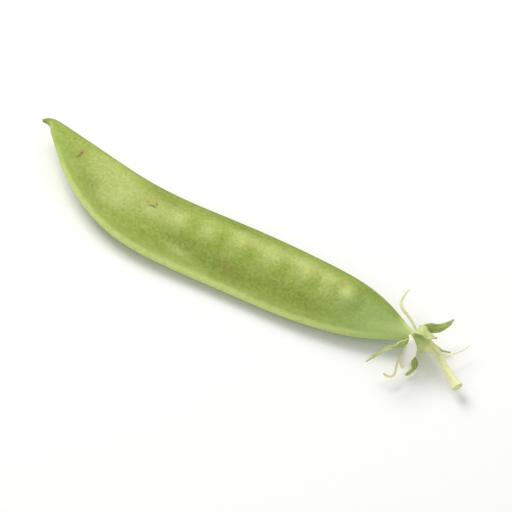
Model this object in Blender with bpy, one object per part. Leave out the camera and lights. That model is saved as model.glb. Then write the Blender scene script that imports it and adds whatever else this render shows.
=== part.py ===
"""A fresh snow pea, lying on its flat side: pod, calyx, stalk and the dry stamens left at its base.

Metres, +Z up. X runs along the pod, from the beak at -X to the stalk at +X. +Y is the side of the upper
suture, the straighter edge that the peas hang from. The origin is the middle of the flat spot that the
pod rests on, so the surface it lies on is Z = 0.
"""

import math

import bmesh
import bpy
import numpy as np

MM = 0.001
TOWARDS_TIP = np.array([-1.0, 0.0, 0.0])

# Driving dimensions of the pod, in millimetres. Distances along the pod count from the tip of the blade.
POD_LENGTH = 90.0
BEAK_LENGTH = 1.3
STIPE_END = 93.2
REST_FROM_TIP = 50.0
REST_ACROSS = -3.2

# Outline: distance from the tip, height of the upper suture and of the lower suture over the pod's chord.
OUTLINE = (
    (-BEAK_LENGTH, 1.25, 0.60),
    (0.0, 1.50, -0.20),
    (4.5, 1.65, -3.90),
    (10.0, 1.55, -8.10),
    (16.5, 1.30, -11.50),
    (25.0, 1.15, -13.75),
    (33.0, 1.75, -13.90),
    (44.0, 3.35, -12.65),
    (56.0, 4.80, -11.15),
    (66.0, 5.45, -9.75),
    (73.5, 5.45, -8.10),
    (80.0, 4.45, -6.00),
    (86.0, 2.40, -3.05),
    (POD_LENGTH, 1.00, -1.20),
    (STIPE_END, 0.80, -1.00),
)

# Half thickness of the flesh between the peas, by distance from the tip.
THICKNESS = (
    (-BEAK_LENGTH, 0.34),
    (0.0, 0.62),
    (6.0, 1.20),
    (15.0, 1.75),
    (28.0, 2.15),
    (45.0, 2.35),
    (64.0, 2.35),
    (76.0, 2.00),
    (84.0, 1.45),
    (POD_LENGTH, 1.02),
    (STIPE_END, 0.85),
)
UPPER_SUTURE_RADIUS = 0.78
LOWER_SUTURE_RADIUS = 0.54
SUTURE_FROM_WIDTH = 1.3
SUTURE_FULL_WIDTH = 4.0
SUTURE_LEAST_SHARE = 0.55
SUTURE_MOST_OF_WIDTH = 0.6
# A lens of flatter faces than an ellipse over the blade, an ellipse over the beak and the stipe.
VALVE_FLATNESS = 2.4
VALVE_EDGE_POWER = 0.80
ELLIPSE_FLATNESS = 2.0
ELLIPSE_EDGE_POWER = 0.5
BLEND_POWER = 2.6

# The peas that raise the wall: distance from the tip, share of the width from the upper suture, height.
PEAS = (
    (23.0, 0.38, 0.18),
    (29.8, 0.37, 0.30),
    (36.3, 0.34, 0.50),
    (42.8, 0.35, 0.66),
    (49.4, 0.34, 0.60),
    (57.0, 0.34, 0.70),
    (64.3, 0.30, 0.62),
    (69.6, 0.36, 0.28),
    (74.4, 0.35, 0.70),
)
PEA_HALF_LENGTH = 3.4
PEA_HALF_WIDTH = 4.3
PEA_LEAN = 0.35
PEA_EDGE_FADE = 8
UNDERSIDE_PEA_SHARE = 0.45

# How the pod bows and twists, and where its middle plane lies over the surface.
MIDDLE_HEIGHT = 2.22
TIP_LIFT = 3.2
BASE_LIFT = 1.8
TIP_TWIST = -0.10
BASE_TWIST = 0.05
HOOK_FROM = 1.6
HOOK_RADIUS = 3.4
HOOK_MIDDLE = 0.8

# The rings stand closer together towards both ends.
POD_RINGS = 84
POD_SIDES = 36
POD_END_EASE = 0.6

# Calyx: a closed cup, as distance from its foot towards the pod and radius of the middle of its wall.
CALYX_MOUTH_FROM_TIP = 91.0
CALYX_PROFILE = ((0.0, 0.62), (0.22, 1.16), (0.65, 1.62), (1.3, 1.92), (2.1, 2.06), (3.0, 2.2))
CALYX_WALL = 0.6
CALYX_RIB = 0.03
# Five lobes part from the mouth. The numbers of each, with angles in degrees:
# the azimuths of its root and of its tip, from the upper suture's side through the side that faces up;
# its length;
# how far it opens from the pod's own direction, at the shares of its length in LOBE_SHARES;
# its turn about its own length;
# how much it widens past its root, and the power of its taper to the tip;
# its cup, 1 for a hollow that follows the calyx wall and -1 for a dome.
LOBE_SHARES = (0.0, 0.25, 0.6, 1.0)
LOBES = (
    (8.0, 20.0, 7.0, (104.0, 150.0, 130.0, 106.0), -62.0, 0.35, 0.85, 0.6),
    (80.0, 60.0, 5.9, (62.0, 136.0, 204.0, 120.0), -14.0, 1.3, 0.5, -0.8),
    (152.0, 212.0, 10.5, (64.0, 55.0, 59.0, 62.0), -40.0, 0.5, 0.95, 1.0),
    (224.0, 186.0, 6.8, (75.0, 146.0, 104.0, 58.0), 30.0, 0.4, 0.8, 0.8),
    (296.0, 372.0, 7.8, (60.0, 160.0, 172.0, 158.0), 0.0, 0.4, 0.8, 0.8),
)
LOBE_STEP = 360 / len(LOBES)
LOBE_COLUMNS = 6
LOBE_ROWS = 12
LOBE_TIP_WIDTH = 0.20
LOBE_ARCH = 1.1
TWIST_DONE_AT = 0.55
CUP_DONE_AT = 0.3
FLOOR_CLEARANCE = 0.7
FLOOR_SOFTNESS = 0.35

# Stalk: its middle line from the calyx foot, as distance along the chord, across it and up.
STALK_ROUTE = ((0.6, 0.0, 0.0), (1.7, -0.15, -0.1), (4.9, -1.65, -0.8), (9.8, -4.0, -1.6))
# Radius of the stalk by share of its length. The cut end is flared.
STALK_RADII = ((0.0, 1.0), (0.07, 0.88), (0.2, 0.82), (0.6, 0.76), (0.86, 0.84), (1.0, 1.15))
STALK_RINGS = 24
STALK_SIDES = 15
STALK_RIBS = 5
STALK_RIB_HEIGHT = 0.06

# Dry stamens, from the middle of the calyx mouth. Nine are fused in a papery sheath that has split from the
# pod and hangs out at the lower side, ending in a thread. The tenth is a free thread at the upper side.
SHEATH_ROUTE = (
    (1.2, -0.64, 1.18),
    (0.0, -0.66, 1.30),
    (-0.6, -0.80, 1.64),
    (-0.80, -1.10, 2.38),
    (-0.10, -1.80, 2.90),
    (0.72, -2.80, 2.44),
    (0.85, -4.15, 1.34),
    (0.60, -5.45, 0.42),
    (0.35, -6.50, -0.25),
    (0.30, -7.30, -0.78),
    (0.35, -8.05, -1.15),
    (0.35, -8.75, -1.40),
    (0.10, -9.40, -1.50),
    (-0.60, -9.85, -1.35),
    (-1.45, -10.05, -0.85),
)
SHEATH_HALF_WIDTHS = (
    (0.0, 0.28),
    (0.18, 0.3),
    (0.28, 0.4),
    (0.36, 1.05),
    (0.44, 1.6),
    (0.52, 1.55),
    (0.60, 1.05),
    (0.67, 0.55),
    (0.72, 0.3),
    (1.0, 0.28),
)
SHEATH_HALF_THICKNESS = 0.3
SHEATH_RINGS = 52
FREE_STAMEN_ROUTE = (
    (1.4, 1.20, 0.58),
    (-0.8, 1.36, 0.58),
    (-1.8, 1.95, 0.75),
    (-3.4, 2.90, 0.95),
    (-5.9, 3.90, 1.20),
    (-6.9, 4.80, 1.30),
    (-7.3, 6.40, 1.20),
    (-7.4, 7.70, 1.00),
    (-7.3, 8.60, 0.80),
)
THREAD_RADIUS = 0.3
THREAD_RINGS = 30
THREAD_SIDES = 8


def spline(stations, at):
    """Natural cubic curve through (distance, value) stations, read at the distances given."""
    x, y = np.array(stations, float).T
    h = np.diff(x)
    system = np.eye(len(x))
    right = np.zeros(len(x))
    for i in range(1, len(x) - 1):
        system[i, i - 1 : i + 2] = h[i - 1], 2 * (h[i - 1] + h[i]), h[i]
        right[i] = 6 * ((y[i + 1] - y[i]) / h[i] - (y[i] - y[i - 1]) / h[i - 1])
    bend = np.linalg.solve(system, right)
    at = np.clip(at, x[0], x[-1])
    i = np.clip(np.searchsorted(x, at) - 1, 0, len(h) - 1)
    a, b = (x[i + 1] - at) / h[i], (at - x[i]) / h[i]
    return a * y[i] + b * y[i + 1] + ((a**3 - a) * bend[i] + (b**3 - b) * bend[i + 1]) * h[i] ** 2 / 6


def smooth_step(low, high, at):
    t = np.clip((at - low) / (high - low), 0, 1)
    return t * t * (3 - 2 * t)


def pod_edges(along):
    """Heights of the upper and lower sutures over the chord."""
    upper = spline([(s[0], s[1]) for s in OUTLINE], along)
    lower = spline([(s[0], s[2]) for s in OUTLINE], along)
    return upper, lower


def flesh_half(along, across, half_width):
    """Half thickness without the peas. across runs from -1 at the lower suture to 1 at the upper."""
    body = smooth_step(SUTURE_FROM_WIDTH, SUTURE_FULL_WIDTH, half_width)
    power = ELLIPSE_EDGE_POWER + (VALVE_EDGE_POWER - ELLIPSE_EDGE_POWER) * body
    flatness = ELLIPSE_FLATNESS + (VALVE_FLATNESS - ELLIPSE_FLATNESS) * body
    valve = spline(THICKNESS, along) * (1 - np.abs(across) ** flatness) ** power
    radius = np.where(across > 0, UPPER_SUTURE_RADIUS, LOWER_SUTURE_RADIUS)
    radius = radius * (SUTURE_LEAST_SHARE + (1 - SUTURE_LEAST_SHARE) * body)
    radius = np.minimum(radius, SUTURE_MOST_OF_WIDTH * half_width)
    from_edge = half_width * (1 - np.abs(across))
    bead = np.sqrt(np.clip(radius**2 - (from_edge - radius) ** 2, 0, None))
    return (valve**BLEND_POWER + bead**BLEND_POWER) ** (1 / BLEND_POWER)


def pea_relief(along, over_chord):
    """How far the peas push the wall out at a place on the pod."""
    relief = np.zeros_like(along + over_chord)
    for place, share, height in PEAS:
        upper, lower = pod_edges(np.array([place]))
        centre = upper[0] + share * (lower[0] - upper[0])
        dy = over_chord - centre
        dx = along - place + PEA_LEAN * dy
        reach = (dx / PEA_HALF_LENGTH) ** 2 + (dy / PEA_HALF_WIDTH) ** 2
        relief += height * np.clip(1 - reach, 0, None) ** 2
    return relief


def middle_height(along, over_chord):
    """Height of the pod's middle plane, which bows up to both ends and twists along its length."""
    to_tip = np.clip((REST_FROM_TIP - along) / REST_FROM_TIP, 0, None)
    to_base = np.clip((along - REST_FROM_TIP) / (POD_LENGTH - REST_FROM_TIP), 0, None)
    lift = TIP_LIFT * to_tip**2 + BASE_LIFT * to_base**2
    twist = TIP_TWIST * to_tip**2 + BASE_TWIST * np.minimum(to_base, 1) ** 2
    upper, lower = pod_edges(along)
    return MIDDLE_HEIGHT + lift + twist * (over_chord - (upper + lower) / 2)


def hooked(points):
    """Bends the beak over towards the lower suture."""
    angle = np.clip((HOOK_FROM - points[..., 0]) / HOOK_RADIUS, 0, None)
    bent = points.copy()
    reach = HOOK_RADIUS + points[..., 1] - HOOK_MIDDLE
    turned = angle > 0
    bent[..., 0] = np.where(turned, HOOK_FROM - reach * np.sin(angle), points[..., 0])
    bent[..., 1] = np.where(turned, HOOK_MIDDLE - HOOK_RADIUS + reach * np.cos(angle), points[..., 1])
    return bent


def placed(points):
    """From distances along and over the chord, in millimetres, to the model's own frame, in metres."""
    return (points - np.array([REST_FROM_TIP, REST_ACROSS, 0.0])) * MM


def pod_points(rings, sides):
    """The pod's surface as rings of points, from the beak to the foot of the stipe."""
    share = np.linspace(0, 1, rings)
    eased = share - POD_END_EASE * np.sin(2 * math.pi * share) / (2 * math.pi)
    along = (-BEAK_LENGTH + (STIPE_END + BEAK_LENGTH) * eased)[:, None]
    turn = np.linspace(0, 2 * math.pi, sides, endpoint=False)[None, :]
    upper, lower = pod_edges(along)
    half_width = (upper - lower) / 2
    across = np.cos(turn)
    over_chord = (upper + lower) / 2 + half_width * across
    side = np.sign(np.round(np.sin(turn), 9))
    flesh = flesh_half(along, across, half_width)
    fade = 1 - across**PEA_EDGE_FADE
    peas = pea_relief(along, over_chord) * fade * np.where(side > 0, 1, UNDERSIDE_PEA_SHARE)
    height = middle_height(along, over_chord) + side * (flesh + peas)
    along_grid = np.broadcast_to(along, height.shape)
    points = hooked(np.stack([along_grid, over_chord, height], axis=-1))
    points[..., 2] = np.maximum(points[..., 2], 0)
    return placed(points)


def ring_faces(rings, sides):
    """Quads between rings of points, and a face over each end."""
    faces = []
    for i in range(rings - 1):
        for k in range(sides):
            n = (k + 1) % sides
            faces.append((i * sides + k, i * sides + n, (i + 1) * sides + n, (i + 1) * sides + k))
    faces.append(tuple(reversed(range(sides))))
    faces.append(tuple((rings - 1) * sides + k for k in range(sides)))
    return faces


def finish_mesh(name, points, faces, material):
    """Makes an object of these points, with its faces turned outwards and shaded smooth."""
    mesh = bpy.data.meshes.new(name)
    mesh.from_pydata([tuple(p) for p in np.asarray(points).reshape(-1, 3)], [], faces)
    shape = bmesh.new()
    shape.from_mesh(mesh)
    bmesh.ops.recalc_face_normals(shape, faces=shape.faces)
    shape.to_mesh(mesh)
    shape.free()
    mesh.shade_smooth()
    mesh.materials.append(material)
    obj = bpy.data.objects.new(name, mesh)
    bpy.context.scene.collection.objects.link(obj)
    return obj


def plant_material(name, colour, roughness):
    material = bpy.data.materials.new(name)
    material.use_nodes = True
    shader = material.node_tree.nodes["Principled BSDF"]
    shader.inputs["Base Color"].default_value = (*colour, 1)
    shader.inputs["Roughness"].default_value = roughness
    shader.inputs["Metallic"].default_value = 0
    return material


def build_pod():
    return finish_mesh(
        "pod",
        pod_points(POD_RINGS, POD_SIDES),
        ring_faces(POD_RINGS, POD_SIDES),
        plant_material("pod_green", (0.30, 0.44, 0.09), 0.45),
    )


def calyx_mouth():
    """The middle of the calyx mouth, in millimetres along the chord, over it and up."""
    upper, lower = pod_edges(np.array([CALYX_MOUTH_FROM_TIP]))
    over = (upper[0] + lower[0]) / 2
    height = middle_height(np.array([CALYX_MOUTH_FROM_TIP]), np.array([over]))[0]
    return np.array([CALYX_MOUTH_FROM_TIP, over, height])


def outward(azimuth):
    """Unit vector square to the pod's chord at an azimuth in degrees, and the one a quarter turn on."""
    a = math.radians(azimuth)
    return np.array([0, math.cos(a), math.sin(a)]), np.array([0, -math.sin(a), math.cos(a)])


def cleared(point):
    """The same point, eased up where it would come too near the surface that the pod lies on."""
    over = (point[2] - FLOOR_CLEARANCE) / FLOOR_SOFTNESS
    lifted = FLOOR_CLEARANCE + FLOOR_SOFTNESS * np.logaddexp(0, over)
    return np.array([point[0], point[1], lifted])


def lobe_half_width(share, root, belly, taper):
    """Half width of a calyx lobe: broad at its root, drawn out to a narrow tip."""
    return LOBE_TIP_WIDTH + (root - LOBE_TIP_WIDTH) * (1 + belly * share) * (1 - share) ** taper


def lobe_lines(mouth, form):
    """Rows of points across one lobe, from just past the mouth to the tip."""
    root, tip, length, openings, twist, belly, taper, cup = form
    rim = CALYX_PROFILE[-1][1]
    root_half = rim * math.radians(LOBE_STEP / 2)
    point = mouth + outward(root)[0] * rim * (1 + CALYX_RIB)
    lines = []
    for row in range(1, LOBE_ROWS + 1):
        share = row / LOBE_ROWS
        opening = math.radians(spline(list(zip(LOBE_SHARES, openings)), np.array([share]))[0])
        radial, side = outward(root + (tip - root) * smooth_step(0, 1, share))
        heading = math.cos(opening) * TOWARDS_TIP + math.sin(opening) * radial
        normal = math.cos(opening) * radial - math.sin(opening) * TOWARDS_TIP
        turn = math.radians(twist) * smooth_step(0, TWIST_DONE_AT, share)
        across = math.cos(turn) * side + math.sin(turn) * normal
        inwards = math.sin(turn) * side - math.cos(turn) * normal
        point = point + heading * length / LOBE_ROWS
        half = lobe_half_width(share, root_half, belly, taper)
        bow = rim * (1 + LOBE_ARCH * share)
        depth = bow * (1 + (cup - 1) * smooth_step(0, CUP_DONE_AT, share))
        turns = [half / bow * (2 * column / LOBE_COLUMNS - 1) for column in range(LOBE_COLUMNS + 1)]
        lines.append(
            [point + bow * math.sin(t) * across + depth * (1 - math.cos(t)) * inwards for t in turns]
        )
    return lines


def calyx_sheet():
    """Points and triangles of the calyx wall: a closed cup of five strips, each drawn out in a lobe."""
    mouth = calyx_mouth()
    foot = mouth - TOWARDS_TIP * CALYX_PROFILE[-1][0]
    points, faces = [cleared(foot)], []
    columns = len(LOBES) * LOBE_COLUMNS

    def add_line(line):
        points.extend(cleared(p) for p in line)
        return list(range(len(points) - len(line), len(points)))

    def join(low, high):
        for i in range(len(low) - 1):
            faces.append((low[i], low[i + 1], high[i + 1]))
            faces.append((low[i], high[i + 1], high[i]))

    rings = []
    for distance, radius in CALYX_PROFILE:
        ring = []
        for column in range(columns):
            azimuth = LOBES[0][0] + LOBE_STEP * (column / LOBE_COLUMNS - 0.5)
            rib = 1 + CALYX_RIB * math.cos(math.radians(2 * len(LOBES) * (azimuth - LOBES[0][0])))
            ring.append(foot + TOWARDS_TIP * distance + outward(azimuth)[0] * radius * rib)
        indices = add_line(ring)
        rings.append(indices + indices[:1])
    faces.extend((0, rings[0][i + 1], rings[0][i]) for i in range(columns))
    for low, high in zip(rings, rings[1:]):
        join(low, high)
    for lobe, form in enumerate(LOBES):
        low = rings[-1][lobe * LOBE_COLUMNS : (lobe + 1) * LOBE_COLUMNS + 1]
        for line in lobe_lines(mouth, form):
            high = add_line(line)
            join(low, high)
            low = high
    return np.array(points), faces


def build_calyx():
    points, faces = calyx_sheet()
    material = plant_material("calyx_green", (0.36, 0.45, 0.12), 0.55)
    calyx = finish_mesh("calyx", placed(points), faces, material)
    wall = calyx.modifiers.new("wall", "SOLIDIFY")
    wall.thickness = CALYX_WALL * MM
    wall.offset = 0
    return calyx


def tube_points(route, widths, heights, rings, sides, ribs=0, rib_height=0.0):
    """Rings of points round a smooth line through the route. Half widths and heights follow its length."""
    route = np.array(route, float)
    chord = np.concatenate([[0], np.cumsum(np.linalg.norm(np.diff(route, axis=0), axis=1))])
    share = np.linspace(0, 1, rings)
    line = np.stack([spline(list(zip(chord, route[:, i])), share * chord[-1]) for i in range(3)], axis=1)
    heading = np.gradient(line, axis=0)
    heading /= np.linalg.norm(heading, axis=1)[:, None]
    side = np.cross(heading, [0.0, 0.0, 1.0])
    side /= np.linalg.norm(side, axis=1)[:, None]
    top = np.cross(side, heading)
    turn = np.linspace(0, 2 * math.pi, sides, endpoint=False)
    ribbed = 1 + rib_height * np.cos(ribs * turn)
    wide = np.interp(share, *np.array(widths).T)[:, None] * ribbed * np.cos(turn)
    high = np.interp(share, *np.array(heights).T)[:, None] * ribbed * np.sin(turn)
    return line[:, None, :] + side[:, None, :] * wide[..., None] + top[:, None, :] * high[..., None]


def build_stalk():
    foot = calyx_mouth() - TOWARDS_TIP * CALYX_PROFILE[-1][0]
    route = foot + np.array(STALK_ROUTE)
    points = tube_points(
        route, STALK_RADII, STALK_RADII, STALK_RINGS, STALK_SIDES, STALK_RIBS, STALK_RIB_HEIGHT
    )
    material = plant_material("stalk_pale_green", (0.50, 0.52, 0.22), 0.55)
    return finish_mesh("stalk", placed(points), ring_faces(STALK_RINGS, STALK_SIDES), material)


def build_stamens():
    material = plant_material("stamen_cream", (0.72, 0.68, 0.46), 0.6)
    thickness = ((0.0, SHEATH_HALF_THICKNESS), (1.0, SHEATH_HALF_THICKNESS))
    radius = ((0.0, THREAD_RADIUS), (1.0, THREAD_RADIUS))
    forms = (
        ("stamen_sheath", SHEATH_ROUTE, SHEATH_HALF_WIDTHS, thickness, SHEATH_RINGS),
        ("free_stamen", FREE_STAMEN_ROUTE, radius, radius, THREAD_RINGS),
    )
    for name, route, widths, heights, rings in forms:
        points = tube_points(calyx_mouth() + np.array(route), widths, heights, rings, THREAD_SIDES)
        finish_mesh(name, placed(points), ring_faces(rings, THREAD_SIDES), material)


def clear_scene():
    for obj in list(bpy.data.objects):
        bpy.data.objects.remove(obj)


def main():
    clear_scene()
    build_pod()
    build_calyx()
    build_stalk()
    build_stamens()


main()
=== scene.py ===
import math

import bpy
import numpy as np
from mathutils import Matrix, Vector


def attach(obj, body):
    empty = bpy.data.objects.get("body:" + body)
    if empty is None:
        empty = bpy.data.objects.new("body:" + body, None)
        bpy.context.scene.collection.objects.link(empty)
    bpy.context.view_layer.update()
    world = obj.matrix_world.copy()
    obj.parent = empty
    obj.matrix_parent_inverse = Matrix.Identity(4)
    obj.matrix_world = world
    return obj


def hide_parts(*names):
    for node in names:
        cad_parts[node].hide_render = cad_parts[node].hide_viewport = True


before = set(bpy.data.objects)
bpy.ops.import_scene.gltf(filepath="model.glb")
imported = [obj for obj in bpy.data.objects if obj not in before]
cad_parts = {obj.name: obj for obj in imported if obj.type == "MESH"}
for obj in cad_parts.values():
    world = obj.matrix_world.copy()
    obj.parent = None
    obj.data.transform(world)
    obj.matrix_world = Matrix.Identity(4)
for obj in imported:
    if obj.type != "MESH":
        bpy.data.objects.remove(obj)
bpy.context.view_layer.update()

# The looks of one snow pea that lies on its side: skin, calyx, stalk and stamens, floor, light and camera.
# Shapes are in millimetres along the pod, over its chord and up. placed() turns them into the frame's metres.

MM = 0.001
SEED = 11
# Size of the tables of random numbers, and shifts that keep the places read from them above zero.
NOISE_CELLS = 256
NOISE_SHIFT = (97.3, 61.7)
NET_CELLS = 128
NET_SHIFT = (40, 60)
TOWARDS_TIP = np.array([-1.0, 0.0, 0.0])

# The pod's form, as the solids have it. Distances along the pod count from the tip of the blade.
# OUTLINE: distance, and the upper and lower sutures over the chord. THICKNESS: distance and half thickness.
# PEAS: distance, share of the way from the upper suture to the lower, and height.
POD_LENGTH = 90.0
BEAK_LENGTH = 1.3
STIPE_END = 93.2
REST_FROM_TIP = 50.0
REST_ACROSS = -3.2
OUTLINE = (
    (-BEAK_LENGTH, 1.25, 0.60),
    (0.0, 1.50, -0.20),
    (4.5, 1.65, -3.90),
    (10.0, 1.55, -8.10),
    (16.5, 1.30, -11.50),
    (25.0, 1.15, -13.75),
    (33.0, 1.75, -13.90),
    (44.0, 3.35, -12.65),
    (56.0, 4.80, -11.15),
    (66.0, 5.45, -9.75),
    (73.5, 5.45, -8.10),
    (80.0, 4.45, -6.00),
    (86.0, 2.40, -3.05),
    (POD_LENGTH, 1.00, -1.20),
    (STIPE_END, 0.80, -1.00),
)
THICKNESS = (
    (-BEAK_LENGTH, 0.34),
    (0.0, 0.62),
    (6.0, 1.20),
    (15.0, 1.75),
    (28.0, 2.15),
    (45.0, 2.35),
    (64.0, 2.35),
    (76.0, 2.00),
    (84.0, 1.45),
    (POD_LENGTH, 1.02),
    (STIPE_END, 0.85),
)
UPPER_SUTURE_RADIUS = 0.78
LOWER_SUTURE_RADIUS = 0.54
SUTURE_FROM_WIDTH = 1.3
SUTURE_FULL_WIDTH = 4.0
SUTURE_LEAST_SHARE = 0.55
SUTURE_MOST_OF_WIDTH = 0.6
VALVE_FLATNESS = 2.4
VALVE_EDGE_POWER = 0.80
ELLIPSE_FLATNESS = 2.0
ELLIPSE_EDGE_POWER = 0.5
BLEND_POWER = 2.6
PEAS = (
    (23.0, 0.38, 0.18),
    (29.8, 0.37, 0.30),
    (36.3, 0.34, 0.50),
    (42.8, 0.35, 0.66),
    (49.4, 0.34, 0.60),
    (57.0, 0.34, 0.70),
    (64.3, 0.30, 0.62),
    (69.6, 0.36, 0.28),
    (74.4, 0.35, 0.70),
)
PEA_HALF_LENGTH = 3.4
PEA_HALF_WIDTH = 4.3
PEA_LEAN = 0.35
PEA_EDGE_FADE = 8
UNDERSIDE_PEA_SHARE = 0.45
MIDDLE_HEIGHT = 2.22
TIP_LIFT = 3.2
BASE_LIFT = 1.8
TIP_TWIST = -0.10
BASE_TWIST = 0.05
HOOK_FROM = 1.6
HOOK_RADIUS = 3.4
HOOK_MIDDLE = 0.8

# Fine surface of the pod.
POD_RINGS = 400
POD_SIDES = 224
POD_END_EASE = 0.6
# Veins: length and width of the net's meshes, its two directions in degrees, width and height of a vein.
VEIN_CELL = (3.0, 1.25)
VEIN_ANGLES = (58.0, -52.0)
VEIN_WIDTH = 0.16
VEIN_HEIGHT = 0.035
# Dents, as size and depth, and how much longer they are along the pod than across it.
DENTS = ((11.0, 0.09), (4.2, 0.035), (1.6, 0.012))
DENT_STRETCH = 1.2
# How far the underside's veins and dents are shifted along the pod, so that its two sides differ.
UNDERSIDE_VEIN_SHIFT = 40
UNDERSIDE_DENT_SHIFT = 60
# Relief beside each suture, as distance from its middle round the wall, width and height.
UPPER_SUTURE_FORMS = ((0.0, 0.15, -0.16), (0.46, 0.20, 0.07), (1.25, 0.30, -0.07))
LOWER_SUTURE_FORMS = ((0.0, 0.40, 0.02), (0.95, 0.30, -0.02))
SCAR_DEPTH = 0.06
# The paler colour over a pea, partly its own paleness and partly a painted highlight, gathers closer to its
# middle than its bump does.
PEA_COLOUR_POWER = 4.2
PEA_COLOUR_FULL_AT = 0.68

# Marks on the pod's upper wall: pixel in the photograph, length, width and turn in degrees of each.
# The pixels are read as places at this height of the wall.
MARK_HEIGHT = 5.2
SCARS = (
    ((209.4, 173.3), 0.75, 0.22, 74.0),
    ((210.3, 171.9), 0.35, 0.2, 40.0),
    ((239.4, 193.6), 0.55, 0.24, 28.0),
    ((240.8, 194.2), 0.45, 0.26, -10.0),
    ((242.0, 193.2), 0.4, 0.22, -60.0),
    ((238.5, 192.0), 0.3, 0.18, 60.0),
)
HALOS = (
    ((210.4, 172.4), 1.3, 0.9, 60.0),
    ((239.6, 191.6), 1.5, 1.0, 30.0),
    ((319.8, 226.2), 1.1, 0.7, -20.0),
)
BROWN_PATCHES = (((270.0, 217.6), 2.6, 1.3, -20.0), ((274.8, 220.6), 2.4, 1.0, -30.0))
# Paler patches: partly the skin's own paler bloom, partly painted sheen and painted highlights over the peas.
PALE_AND_SHEEN_PATCHES = (
    ((221.5, 179.2), 6.5, 3.6, -5.0),
    ((229.2, 187.3), 5.0, 2.8, -5.0),
    ((222.5, 191.5), 4.0, 1.4, 0.0),
    ((245.5, 196.5), 4.5, 2.6, 0.0),
    ((250.5, 211.8), 3.0, 1.0, 0.0),
    ((283.0, 208.6), 6.0, 1.5, 0.0),
    ((303.0, 217.0), 6.5, 1.8, 2.0),
    ((315.0, 223.6), 2.0, 1.3, 0.0),
    ((321.3, 230.0), 1.5, 1.7, 20.0),
    ((338.0, 246.5), 5.5, 1.9, 12.0),
)
DEEP_PATCHES = (
    ((252.0, 207.8), 5.0, 1.8, 0.0),
    ((246.0, 190.0), 5.0, 2.0, 0.0),
    ((268.0, 218.0), 9.0, 2.4, 0.0),
    ((300.0, 231.0), 14.0, 3.0, 2.0),
    ((277.0, 200.8), 6.0, 1.1, 8.0),
    ((331.5, 231.0), 3.5, 1.4, -12.0),
    ((327.0, 234.5), 3.2, 3.6, 0.0),
    ((325.5, 239.0), 3.0, 2.2, 0.0),
    ((336.0, 240.5), 4.0, 1.6, -10.0),
    ((341.0, 239.8), 2.5, 1.1, -20.0),
    ((214.0, 186.0), 3.5, 1.7, -30.0),
)

# Calyx. Its cup is as the solids have it: distance from its foot and radius, and ribs as a share of that.
CALYX_MOUTH_FROM_TIP = 91.0
CALYX_PROFILE = ((0.0, 0.62), (0.22, 1.16), (0.65, 1.62), (1.3, 1.92), (2.1, 2.06), (3.0, 2.2))
CALYX_RIB = 0.03
CALYX_WALL = 0.28
CUP_ROWS = 22
CUP_RIB_REACH = 1.4
# Of each lobe, with angles in degrees:
# root and tip are azimuths, from the upper suture's side through the side that faces up;
# openings are its lean away from the pod's own direction, at LOBE_SHARES of its length;
# twist is its turn about its own length;
# belly is how much it widens past its root, and taper the power of its narrowing to the tip;
# cup is 1 for a hollow that follows the calyx wall and -1 for a dome;
# pale is how much of the cup's cream colour it keeps; the third and fourth lobes keep none, partly as painted
# shade.
LOBE_SHARES = (0.0, 0.25, 0.6, 1.0)
LOBES = (
    dict(
        root=8, tip=20, length=7.0, openings=(104, 150, 130, 106),
        twist=-62, belly=0.35, taper=0.85, cup=0.6, pale=0.12,
    ),
    dict(
        root=80, tip=60, length=5.9, openings=(62, 136, 204, 126),
        twist=-14, belly=1.3, taper=0.5, cup=-0.8, pale=0.75,
    ),
    # Keeps none of the cup's cream, partly as painted shade.
    dict(
        root=152, tip=212, length=10.5, openings=(64, 55, 59, 62),
        twist=-40, belly=0.5, taper=0.95, cup=1.0, pale=0.0,
    ),
    # Keeps none of the cup's cream, partly as painted shade.
    dict(
        root=224, tip=186, length=6.8, openings=(75, 146, 104, 58),
        twist=30, belly=0.4, taper=0.8, cup=0.8, pale=0.0,
    ),
    dict(
        root=296, tip=372, length=7.8, openings=(60, 160, 172, 158),
        twist=0, belly=0.4, taper=0.8, cup=0.8, pale=0.2,
    ),
)
LOBE_STEP = 360 / len(LOBES)
LOBE_COLUMNS = 20
LOBE_ROWS = 64
LOBE_TIP_HALF_WIDTH = 0.05
LOBE_ARCH = 1.1
TWIST_DONE_AT = 0.55
CUP_DONE_AT = 0.3
PALE_DONE_AT = 0.3
MIDRIB_HEIGHT = 0.14
MIDRIB_WIDTH = 0.13
MIDRIB_FADE = 0.3
VEINS_PER_HALF_LOBE = 4
# Wobble of a lobe's outline and wave of its margins: size, radians over its length, shift between lobes.
OUTLINE_WOBBLE = (0.05, 9.0, 2.1)
MARGIN_WAVE = (0.16, 17.0, 1.7)
# The wave turns over here, a little beside the midrib, so that one margin is up where the other is down.
WAVE_TURNS_OVER_AT = -0.3
# How far the calyx stays above the floor, and over what height it is eased up to that.
FLOOR_CLEARANCE = 0.55
FLOOR_SOFTNESS = 0.35

# Stalk, from the calyx foot, with radii by share of its length.
STALK_ROUTE = ((-0.3, 0.0, 0.0), (0.6, 0.0, 0.0), (1.7, -0.15, -0.1), (4.9, -1.65, -0.8), (9.8, -4.0, -1.6))
STALK_RADII = (
    (0.0, 1.30),
    (0.05, 1.24),
    (0.11, 1.0),
    (0.18, 0.86),
    (0.5, 0.78),
    (0.84, 0.82),
    (0.93, 0.98),
    (0.985, 1.16),
    (1.0, 1.10),
)
STALK_RINGS = 150
STALK_SIDES = 60
# Ribs and fibres along it, with their turn over its length in radians. Heights are shares of its radius.
STALK_RIBS = 5
STALK_RIB_TURN = 1.2
STALK_RIB_HEIGHT = 0.05
STALK_FIBRES = 23
STALK_FIBRE_TURN = 3
STALK_FIBRE_HEIGHT = 0.018
STALK_KNOT_HEIGHT = 0.03
STALK_RAGGED_HEIGHT = 0.07
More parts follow.
